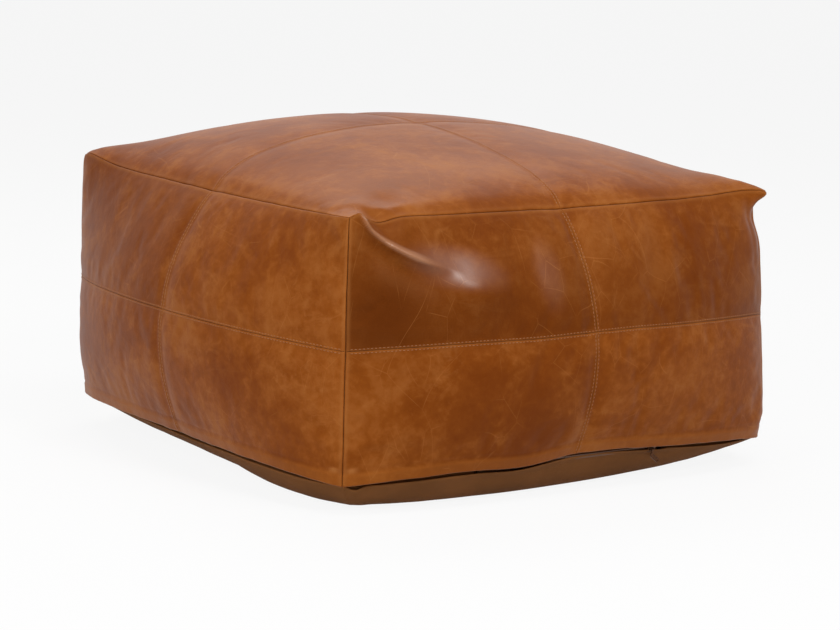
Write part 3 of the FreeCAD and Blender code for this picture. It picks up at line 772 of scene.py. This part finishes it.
class PoufInflate(bpy.types.Operator):
    """Inflates a coarse copy of the cover as cloth, and keeps how far its leather creases"""
    bl_idname = "pouf.inflate"
    bl_label = "Inflate"

    def tightness(self, span, share, s, t):
        """1 at the edges of a grid that is as high as a share of its width, less at its cross, else 0."""
        s, t = np.abs(s[:, None]), np.abs(t[None])
        near = np.minimum(1 - s, (1 - t) * share) * span
        middle = np.minimum(s, t * share) * span
        return np.clip(bump(near, 0.012) + 0.55 * bump(middle, 0.010), 0, 1)

    def coarse(self, cover):
        """The whole closed cover on even grids: top, walls and a flat bottom, joined at their edges."""
        form = cover.form
        s, t = (np.linspace(-1, 1, round(2 * reach / form.coarse) + 1)
                for reach in (form.half_span, cover.height))
        grids = {"top": cover.top_skin(s[:, None], s[None])}
        tight = {"top": self.tightness(form.half_span, 1.0, s, s)}
        for turns, side in enumerate(SIDES):
            grids[side] = cover.wall_skin(turns, s[:, None], t[None])
            tight[side] = self.tightness(form.half_span, cover.height / form.half_span, s, t)
        hem = np.concatenate([grids[side][:-1, 0] for side in SIDES])
        middle = np.array((0, 0, form.hem_lift))
        grids["bottom"] = np.stack([hem + (middle - hem) * r for r in np.linspace(0, 0.98, 9)])
        held = {key: smooth(*HELD, grid[..., 2] - form.hem_lift) for key, grid in grids.items()}
        tight["bottom"] = held["bottom"] = np.ones(grids["bottom"].shape[:2])
        return grids, tight, held

    def joined(self, grids, *layers):
        """One list of points without doubles, each grid point's place in it, and faces."""
        points = np.concatenate([grid.reshape(-1, 3) for grid in grids.values()])
        cells = np.round(points / WELD + 0.137).astype(int)      # set off, so that no seam is on a border
        _, first, places = np.unique(cells, axis=0, return_index=True, return_inverse=True)
        places = places.ravel()
        faces, start = [], 0
        for key, grid in grids.items():
            faces.append(quads(*grid.shape[:2], closed=key == "bottom") + start)
            start += grid[..., 0].size
        values = [np.concatenate([layer[key].ravel() for key in grids])[first] for layer in layers]
        return points[first], places, places[np.concatenate(faces)], values

    def eased(self, faces, values, rounds):
        """Values averaged with their neighbours', over and over."""
        a = np.concatenate([faces, faces]).ravel()
        b = np.concatenate([np.roll(faces, 1, 1), np.roll(faces, -1, 1)]).ravel()
        count = np.bincount(a, minlength=len(values))[:, None]
        for _ in range(rounds):
            sums = np.stack([np.bincount(a, values[b, axis], len(values)) for axis in range(3)], -1)
            values = 0.5 * values + 0.5 * sums / count
        return values

    def execute(self, context):
        CREASES.clear()
        form, cover = context.scene.pouf_form, Cover(context.scene)
        grids, tight, held = self.coarse(cover)
        points, places, faces, (tightness, holding) = self.joined(grids, tight, held)
        balloon = new_mesh("balloon", points, faces)
        for name, weights in (("tight", tightness), ("held", holding)):
            group = balloon.vertex_groups.new(name=name)
            steps = np.round(weights * WEIGHT_STEPS) / WEIGHT_STEPS
            for step in np.unique(steps[steps > 0]):
                group.add(np.flatnonzero(steps == step).tolist(), float(step), "REPLACE")
        cloth = balloon.modifiers.new("Cloth", "CLOTH")
        for key, value in CLOTH.items():
            setattr(cloth.settings, key, value)
        cloth.settings.uniform_pressure_force = form.pressure
        cloth.settings.effector_weights.gravity = 0
        cloth.collision_settings.use_collision = False
        for shot in range(1, INFLATING + 1):
            context.scene.frame_set(shot)
        baked = balloon.evaluated_get(context.evaluated_depsgraph_get())
        moved = np.zeros(len(points) * 3)
        baked.data.vertices.foreach_get("co", moved)
        context.scene.frame_set(1)
        moved = moved.reshape(-1, 3) - points
        creases = CREASE_SHARE * (moved - self.eased(faces, moved, form.ease_rounds))
        size = np.linalg.norm(creases, axis=-1, keepdims=True)
        creases = creases * form.crease_cap * np.tanh(size / form.crease_cap) / np.maximum(size, 1e-9)
        on_top = smooth(0.0, 0.01, points[:, 2:] - form.corner_height)
        creases = creases * (1 - holding[:, None]) * (1 - TOP_DAMPING * on_top)
        bpy.data.objects.remove(balloon)
        spread, start = creases[places], 0
        for key, grid in grids.items():
            count = grid[..., 0].size
            if key != "bottom":
                CREASES[key] = spread[start:start + count].reshape(grid.shape)
            start += count
        return {"FINISHED"}


class PoufMakeTop(bpy.types.Operator):
    """Makes the four leather panels of the top"""
    bl_idname = "pouf.make_top"
    bl_label = "Top panels"

    def execute(self, context):
        cover = Cover(context.scene)
        share = spaced(cover.form.half_span, FINEST, cover.form.fineness)
        for depth, v_start in (("front", -1.0), ("rear", 0.0)):
            for half, u_start in (("left", -1.0), ("right", 0.0)):
                u, v = (u_start + share)[:, None], (v_start + share)[None]
                # painted sheen: the top is painted paler towards its front left corner and along its right
                # side, where the light falls on it
                painted_sheen = 0.14 * bump(u + 0.9, 0.5) * bump(v + 0.9, 0.5) + 0.12 * smooth(0.1, 0.9, u)
                rub_and_sheen = lip_wear(*cover.top_seams(u, v)) * 0.6 + painted_sheen
                wear_and_painted_light = {"rub_and_sheen": rub_and_sheen, **dict.fromkeys(("hem", "tone", "polish"), 0 * rub_and_sheen)}
                leather_piece(f"top_{depth}_{half}", cover.top(u, v), wear_and_painted_light, f"top_panel_{depth}_{half}")
        return {"FINISHED"}


class PoufMakeWalls(bpy.types.Operator):
    """Makes the leather panels of the walls, the lower ones with their turned-up hems"""
    bl_idname = "pouf.make_walls"
    bl_label = "Wall panels"

    def hem_rows(self, cover, turns, s):
        """Rows of the turned-up edge: half a circle under the hem, then straight up behind the wall."""
        radius = cover.form.leather + HEM_GAP
        low = -np.ones_like(s)
        edge = cover.wall(turns, s, low)
        drop = unit(edge - cover.wall(turns, s, 0.98 * low))
        out = cover.hem_normal(turns, s, TURNING)
        rows = []
        for angle in np.linspace(0, math.pi, 9)[1:]:
            rows.append(edge - out * radius * (1 - math.cos(angle)) + drop * radius * math.sin(angle))
        for height in np.linspace(0, cover.seams.hem_depth, 5)[1:]:
            rows.append(edge - out * 2 * radius - drop * height)
        return np.stack(rows[::-1], 1)

    def wear_and_painted_light(self, cover, panel, turns, s, t):
        """What a panel's leather shows: rubbed places, its turned hem, its darker tone and its polish. The
        rub also carries a painted highlight on the fold's crest, and the tone carries painted shade under the
        fold and down the front's upper panels.
        """
        span, hem_depth = cover.form.half_span, cover.seams.hem_depth
        plain, flat = cover.wall_seams(s, t)
        to_top, to_hem = plain[1], (1 + t) * cover.height
        wear_and_painted_light = {"rub_and_sheen": lip_wear(plain, flat),
                "hem": smooth(hem_depth + 0.002, hem_depth - 0.001, to_hem) + 0 * s,
                "tone": PANEL_TONES_AND_SHADE.get(panel, USUAL_TONE) + 0 * s * t, "polish": 0 * s * t}
        if turns in (FRONT, LEFT):      # worn creases at the foot of their shared corner
            near = (1 + s if turns == FRONT else 1 - s) * span
            wear_and_painted_light["rub_and_sheen"] = wear_and_painted_light["rub_and_sheen"] + 0.9 * bump(near - 0.010, 0.005) * bump(to_hem - 0.016, 0.0026)
        if turns == FRONT:              # the fold's lit crest painted pale as a highlight, painted shade under the fold and down the upper panels, and the polish round its end and on the ear
            along = (1 + s) * span
            fold = smooth(0.0045, 0.0085, corner_fold(along, to_top))
            glow = np.hypot((along - 0.130) / 0.046, (to_top - 0.064 - 0.22 * (along - 0.130)) / 0.021)
            faint = np.hypot((along - 0.245) / 0.016, (to_top - 0.080) / 0.036)
            # painted highlight: the fold's crest is painted pale
            wear_and_painted_light["rub_and_sheen"] = wear_and_painted_light["rub_and_sheen"] + 0.45 * fold * smooth(0.120, 0.090, along)
            # painted shade under the fold, by the near corner
            wear_and_painted_light["tone"] = wear_and_painted_light["tone"] + 0.48 * bump(s + 0.86, 0.20) * bump(to_top - 0.100, 0.070)
            # painted light and shade: the front's upper panels are painted lighter just under the top seam
            # and darker further down
            if "upper" in panel:
                wear_and_painted_light["tone"] = wear_and_painted_light["tone"] - 0.16 + 0.36 * smooth(0.010, 0.120, to_top)
            wear_and_painted_light["polish"] = 0.9 * smooth(1.6, 0.2, glow) + 0.4 * smooth(1.6, 0.2, faint) \
                + 0.9 * fold * smooth(0.120, 0.080, along) + 300 * ear_pleats((1 - s) * span, to_top)
        return wear_and_painted_light

    def execute(self, context):
        cover = Cover(context.scene)
        form = cover.form
        for turns, side in enumerate(SIDES):
            for half, s_start in (("left", -1.0), ("right", 0.0)):
                for level, t_start in (("lower", -1.0), ("upper", 0.0)):
                    panel = (side, level, half)
                    largest = form.fineness / 2 if panel == FOLDED else form.fineness
                    s = (s_start + spaced(form.half_span, FINEST, largest))[:, None]
                    t = (t_start + spaced(cover.height, FINEST, largest))[None]
                    points, wear_and_painted_light = cover.wall(turns, s, t), self.wear_and_painted_light(cover, panel, turns, s, t)
                    nodes = [f"{side}_wall_{level}_{half}"]
                    if level == "lower":
                        turn = self.hem_rows(cover, turns, s[:, 0])
                        points = np.concatenate([turn, points], 1)
                        hidden = {"rub_and_sheen": 0, "hem": 1, "tone": wear_and_painted_light["tone"][0, 0], "polish": 0}
                        wear_and_painted_light = {key: np.concatenate([np.full(turn.shape[:2], hidden[key]), values], 1)
                                for key, values in wear_and_painted_light.items()}
                        nodes.append(f"{side}_hem_turn_{half}")
                    leather_piece(f"wall_{side}_{level}_{half}", points, wear_and_painted_light, *nodes)
        return {"FINISHED"}


class PoufMakeStitching(bpy.types.Operator):
    """Makes the two rows of topstitching along each cross seam"""
    bl_idname = "pouf.make_stitching"
    bl_label = "Topstitching"
    CROSS, TOP_END, END = 0.02, 0.965, 0.985     # where rows start and stop, as parameters

    def row(self, seams, line, normals):
        """Stitches along a line of points: short arched tubes whose ends dive into the leather."""
        lengths = np.concatenate([[0.0], np.cumsum(np.linalg.norm(np.diff(line, axis=0), axis=1))])
        count = int(lengths[-1] / seams.pitch)
        middles = (np.arange(count) + 0.5) * lengths[-1] / count

        def at(values, where):
            return np.stack([np.interp(where, lengths, values[:, i]) for i in range(3)], -1)

        normal = unit(at(normals, middles))
        along = unit(at(line, middles + NEARBY) - at(line, middles - NEARBY))
        axes = (along, np.cross(normal, along), normal)
        run, turn = np.meshgrid(np.linspace(-0.5, 0.5, TUBE), np.arange(TUBE) / TUBE * 2 * math.pi,
                                indexing="ij")
        dive = (2 * run) ** 4
        taper = seams.thread * (1 - 0.55 * dive)
        lift = seams.thread * (0.55 - 1.9 * dive) + taper * np.sin(turn)
        points = at(line, middles)[:, None]
        for axis, moves in zip(axes, (run * seams.stitch, taper * np.cos(turn), lift)):
            points = points + axis[:, None] * moves.ravel()[None, :, None]
        start = np.array([[0, 1, 2, 3], [0, 3, 4, 5]])
        end = start[:, ::-1] + TUBE * (TUBE - 1)
        faces = np.concatenate([quads(TUBE, TUBE, closed=True)[:, ::-1], start, end])
        starts = TUBE * TUBE * np.arange(count)[:, None, None]
        return points.reshape(-1, 3), (faces[None] + starts).reshape(-1, 4)

    def piece(self, name, scene, rows):
        points, faces, start = [], [], 0
        for line, normals in rows:
            stitches, sides = self.row(scene.pouf_seams, line, normals)
            points.append(stitches)
            faces.append(sides + start)
            start += len(stitches)
        thread = scene.pouf_finish.thread
        settle_in(new_mesh(name, np.concatenate(points), np.concatenate(faces)), "cover_leather",
                  material("topstitch_thread", strand_material, thread, 1400.0, 1.0, 0.75, 0.55))

    def execute(self, context):
        scene, cover = context.scene, Cover(context.scene)
        off, off_up = (cover.seams.row_offset / reach for reach in (cover.form.half_span, cover.height))
        full = np.linspace(-self.END, self.END, 700)
        upper, lower = np.linspace(self.CROSS, self.TOP_END, 300), np.linspace(-self.END, -self.CROSS, 300)
        for turns, side in enumerate(SIDES):
            upright, level = [], []
            for sign in (-1, 1):
                for run in (upper, lower):
                    s = np.full_like(run, sign * off)
                    upright.append((cover.wall(turns, s, run), cover.wall_normal(turns, s, run)))
                t = np.full_like(full, sign * off_up)
                level.append((cover.wall(turns, full, t), cover.wall_normal(turns, full, t)))
            self.piece(f"stitching_{side}_upright", scene, upright)
            self.piece(f"stitching_{side}_level", scene, level)
        for name, flip in (("across", False), ("along", True)):
            rows = []
            for sign in (-1, 1):
                still = np.full_like(full, sign * off)
                u, v = (still, full) if flip else (full, still)
                rows.append((cover.top(u, v), cover.top_normal(u, v)))
            self.piece(f"stitching_top_{name}", scene, rows)
        return {"FINISHED"}


class PoufMakeBase(bpy.types.Operator):
    """Makes the canvas base with its folded edge behind the hem"""
    bl_idname = "pouf.make_base"
    bl_label = "Canvas base"
    SPACING = (0.0015, 0.006)           # round the lip, by the corners and at most
    ZIPPED, ROOM = (0.142, 0.131), (0.215, 0.132)    # from the middle: where the zip's forms fade in
    # How far the lip is below the hem and behind it: at least, more where it is slack, and at the zip
    GAP, GAP_SLACK, GAP_ZIP = 0.0020, 0.0062, 0.0066
    BACK, BACK_SLACK, BACK_ZIP = 0.0058, 0.0026, 0.0078
    # Rows of the folded edge: how far behind and above the lip, and the same two at the zip
    HIDDEN = ((0.0050, 0.0110, 0.0050, -0.0035), (0.0052, 0.0030, 0.0032, -0.0020),
              (0.0042, 0.0006, 0.0019, -0.0004), (0.0012, 0.0006, 0.0008, 0.0003))

    def execute(self, context):
        cover = Cover(context.scene)
        form, finish = cover.form, context.scene.pouf_finish
        s = 2 * spaced(2 * form.half_span, *self.SPACING)[:-1] - 1
        sides = []
        for turns in range(4):
            edge = cover.wall_skin(turns, s, -np.ones_like(s))
            out = unit(cover.hem_normal(turns, s, 0.02) * np.array((1, 1, 0)))
            from_middle = np.abs(s) * form.half_span
            zipped = smooth(*self.ZIPPED, from_middle) * (turns == FRONT)
            room = smooth(*self.ROOM, from_middle) * (turns == FRONT)
            # the lip, with a deeper gap at the near end of the front
            slack = {FRONT: 1 - bump(s - 0.08, 0.45), LEFT: smooth(-0.7, 0.1, s)}.get(turns, 0.3 + 0 * s)
            gap = self.GAP + self.GAP_SLACK * slack * (1 - s ** 8) + 0.0006 * waves(edge, 0.12, 81)
            gap = gap * (1 - zipped) + self.GAP_ZIP * zipped
            gap = gap + 0.005 * bump(s + 0.955, 0.03) * (turns == FRONT)
            set_back = (self.BACK + self.BACK_SLACK * slack) * (1 - zipped) + self.BACK_ZIP * zipped
            lip = edge - out * set_back[:, None] - np.array((0, 0, 1)) * gap[:, None]
            # the rim of the flat patch on the floor, and how full the canvas is on its way there
            tuck = form.patch_tuck * rounded(s) * smooth(0.6, -0.4, s) if turns == LEFT else 0 * s
            bow = (form.patch_middle - form.patch_corner) * rounded(s)
            rim = turned(stacked(s * form.patch_corner, tuck - form.patch_corner - bow, 0 * s), turns)
            power = {FRONT: 2.4 + 4.4 * ((1 - s) / 2) ** 1.2, LEFT: 2.0 + 4.8 * smooth(0.2, 1.0, s),
                     REAR: 2.4 - 0.9 * smooth(-0.5, 1.0, s)}.get(turns, 2.4 + 0 * s)
            sides.append(np.concatenate([lip, rim, -out, stacked(zipped, room, power)], 1))
        lip, rim, inward, zipped, room, power = np.split(np.concatenate(sides), (3, 6, 9, 10, 11), 1)
        rows = []
        for back, high, zip_back, zip_high in self.HIDDEN:
            rows.append(lip + inward * (back + (zip_back - back) * zipped)
                        + np.array((0, 0, 1)) * (high + (zip_high - high) * zipped))
        for r in spaced(1.0, 0.008, 0.05):
            plan = lip + (rim - lip) * r
            height = lip[:, 2:] * max(1 - r, 0.0) ** power
            wrinkle = 0.0012 * waves(plan, 0.05, 82)[:, None] * r * (1 - r) * 4
            shift = wrinkle * (1 - room) + PULL_ROOM * room * smooth(0.0, 0.05, r) * smooth(0.7, 0.3, r)
            rows.append(np.concatenate([plan[:, :2], height], 1) + inward * shift)
        for r in np.linspace(0, 1, 12)[1:-1]:
            rows.append(rim * (1 - r))
        grid = np.stack(rows)
        count, columns = grid.shape[:2]
        points = np.concatenate([grid.reshape(-1, 3), [[0.0, 0.0, 0.0]]])
        last = (count - 1) * columns + np.arange(columns)
        wear_and_painted_light = np.zeros((count, columns))
        wear_and_painted_light[3:6] = np.array([0.8, 1.0, 0.3])[:, None]      # lighter where the canvas is folded over
        piece = new_mesh("canvas_base", points, quads(count, columns, closed=True),
                         {"lip": np.append(wear_and_painted_light.ravel(), 0.0)}, fan(last, count * columns)[:, ::-1])
        thickened(piece, form.canvas)
        settle_in(piece, "base_canvas", material("woven_canvas", canvas_material, finish), "base_canvas")
        return {"FINISHED"}


class PoufMakeInside(bpy.types.Operator):
    """Makes the liner bag and the filling"""
    bl_idname = "pouf.make_inside"
    bl_label = "Liner and filling"
    GRID = (60, 160)        # rings and points round each
    ROOM, BELLY = 0.012, 0.040          # inside the cover's corners, and outwards at mid height

    def stuffing(self, form, name, shrink, slot, made_of, node):
        """A closed bag: a ball's directions carried to the cover's smooth form and drawn in."""
        rows, columns = self.GRID
        lift, turn = np.meshgrid(np.linspace(-1, 1, rows + 2)[1:-1],
                                 np.arange(columns) / columns * 2 * math.pi, indexing="ij")
        square = 1 / np.maximum(np.abs(np.cos(turn)), np.abs(np.sin(turn)))     # 1, and root 2 at the corners
        profile = (1 - np.abs(lift) ** 5) ** 0.45
        radius = (form.half_span - self.ROOM) * profile * (1 + (square - 1) * 0.8) \
            + self.BELLY * rounded(lift) * (1 - (square - 1) / 0.42)
        low, high = 0.006, form.corner_height + form.crown * 0.80
        z = low + (high - low) * (0.5 + 0.5 * np.sign(lift) * np.abs(lift) ** 1.5)
        points = stacked(radius * np.cos(turn), radius * np.sin(turn), z)
        lumps = 0.006 * waves(points, 0.09, 91)[..., None]
        centre = np.array((0, 0, (form.corner_height - form.hem_lift) / 2))
        points = (points - centre) * (shrink + lumps) + centre
        ends = np.array([[0, 0, points[0, 0, 2]], [0, 0, points[-1, 0, 2]]])
        first, size = np.arange(columns), rows * columns
        fans = np.concatenate([fan(first, size)[:, ::-1], fan(first + size - columns, size + 1)])
        faces = quads(rows, columns, closed=True)[:, ::-1]
        piece = new_mesh(name, np.concatenate([points.reshape(-1, 3), ends]), faces, None, fans)
        settle_in(piece, slot, made_of, node)

    def execute(self, context):
        form, finish = context.scene.pouf_form, context.scene.pouf_finish
        bag = material("bag_cloth", cloth_material, finish.liner, 900.0)
        shreds = material("shredded_cloth", cloth_material, finish.filling, 160.0)
        self.stuffing(form, "liner_bag_cloth", 0.94, "liner_cloth", bag, "liner_bag")
        self.stuffing(form, "filling_block", 0.92, "filling", shreds, "filling")
        return {"FINISHED"}


class PoufDressZip(bpy.types.Operator):
    """Gives the zip's tapes, coils, stops, slider and pull their finishes"""
    bl_idname = "pouf.dress_zip"
    bl_label = "Zip finishes"

    def execute(self, context):
        finish = context.scene.pouf_finish
        tape = material("woven_tape", cloth_material, finish.tape, 1200.0)
        coil = material("moulded_coil", strand_material, finish.coil, 300.0, 2.0, 0.8, 0.42)
        metal = material("antique_brass", metal_material, finish)
        for made_of, nodes in ((tape, ("zip_tape_upper", "zip_tape_lower")),
                               (coil, ("zip_coil_upper", "zip_coil_lower")),
                               (metal, ("zip_top_stop", "zip_bottom_stop", "zip_slider", "zip_pull"))):
            for node in nodes:
                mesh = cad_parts[node].data
                mesh.materials.clear()
                mesh.materials.append(made_of)
        return {"FINISHED"}


class PoufSetStage(bpy.types.Operator):
    """Makes the floor, the lamps, the world's light and the camera"""
    bl_idname = "pouf.set_stage"
    bl_label = "Stage"

    def floor(self, stage):
        turn = np.arange(stage.floor_sides) / stage.floor_sides * 2 * math.pi
        rim = stacked(stage.floor_radius * np.cos(turn), stage.floor_radius * np.sin(turn), 0 * turn)
        points = np.concatenate([rim, [[0, 0, 0]]]) - np.array((0, 0, FLOOR_DROP))
        floor = new_mesh("floor", points, np.zeros((0, 4), int), None, fan(np.arange(len(rim)), len(rim)))
        g = Graph(bpy.data.materials.new("floor_pale"))
        g.partly_white(g.node("ShaderNodeBsdfDiffuse", None, Color=(0.80, 0.80, 0.80, 1)),
                       g.node("ShaderNodeEmission", None, Color=WHITE, Strength=1.0),
                       FLOOR_GLOW, "ShaderNodeOutputMaterial")
        floor.data.materials.append(g.owner)

    def lamp(self, name, place, size, power):
        light = bpy.data.lights.new(name, "AREA")
        light.shape, light.size, light.size_y, light.energy = "RECTANGLE", *size, power
        lamp = bpy.data.objects.new(name, light)
        lamp.location = place
        lamp.rotation_euler = (Vector(LAMP_TARGET) - Vector(place)).to_track_quat("-Z", "Y").to_euler()
        bpy.context.scene.collection.objects.link(lamp)

    def world(self):
        g = Graph(bpy.data.worlds.new("studio"))
        dim, seen = (g.node("ShaderNodeBackground", None, Color=WHITE, Strength=light)
                     for light in (AMBIENT, 1.0))
        g.partly_white(dim, seen, 1.0, "ShaderNodeOutputWorld")
        bpy.context.scene.world = g.owner

    def camera(self, form, stage):
        a, e = stage.azimuth, stage.elevation
        back = Vector((math.sin(a) * math.cos(e), -math.cos(a) * math.cos(e), math.sin(e)))
        right = Vector((math.cos(a), math.sin(a), 0))
        up = back.cross(right)
        middle = Vector((0, 0, (form.hem_lift + form.corner_height) / 2))
        data = bpy.data.cameras.new("camera")
        data.lens = stage.lens
        camera = bpy.data.objects.new("camera", data)
        cos, sin = math.cos(stage.roll), math.sin(stage.roll)
        axes = Matrix((right * cos + up * sin, up * cos - right * sin, back)).transposed().to_4x4()
        axes.translation = middle + back * stage.distance + right * stage.shift_right + up * stage.shift_up
        camera.matrix_world = axes
        bpy.context.scene.collection.objects.link(camera)
        bpy.context.scene.camera = camera

    def execute(self, context):
        stage = context.scene.pouf_stage
        self.floor(stage)
        for lamp in LAMPS:
            self.lamp(*lamp)
        self.world()
        self.camera(context.scene.pouf_form, stage)
        context.scene.view_settings.view_transform = "Standard"
        return {"FINISHED"}


OPERATORS = (PoufInflate, PoufMakeTop, PoufMakeWalls, PoufMakeStitching, PoufMakeBase, PoufMakeInside,
             PoufDressZip, PoufSetStage)
GROUPS = {"pouf_form": PoufForm, "pouf_seams": PoufSeams, "pouf_finish": PoufFinish, "pouf_stage": PoufStage}


class VIEW3D_PT_pouf(bpy.types.Panel):
    """Sizes, colours and steps of the pouf"""
    bl_label = "Leather pouf"
    bl_space_type = "VIEW_3D"
    bl_region_type = "UI"
    bl_category = "Pouf"

    def draw(self, context):
        for key in GROUPS:
            box = self.layout.box()
            group = getattr(context.scene, key)
            for name in group.__annotations__:
                box.prop(group, name)
        for operator in OPERATORS:
            self.layout.operator(operator.bl_idname)


def register():
    for key, group in GROUPS.items():
        bpy.utils.register_class(group)
        setattr(bpy.types.Scene, key, PointerProperty(type=group))
    for operator in OPERATORS:
        bpy.utils.register_class(operator)
    bpy.utils.register_class(VIEW3D_PT_pouf)


def unregister():
    bpy.utils.unregister_class(VIEW3D_PT_pouf)
    for operator in reversed(OPERATORS):
        bpy.utils.unregister_class(operator)
    for key, group in GROUPS.items():
        delattr(bpy.types.Scene, key)
        bpy.utils.unregister_class(group)


def main():
    register()
    bpy.ops.pouf.inflate()
    bpy.ops.pouf.make_top()
    bpy.ops.pouf.make_walls()
    bpy.ops.pouf.make_stitching()
    bpy.ops.pouf.make_base()
    bpy.ops.pouf.make_inside()
    bpy.ops.pouf.dress_zip()
    bpy.ops.pouf.set_stage()


if __name__ == "__main__":
    main()
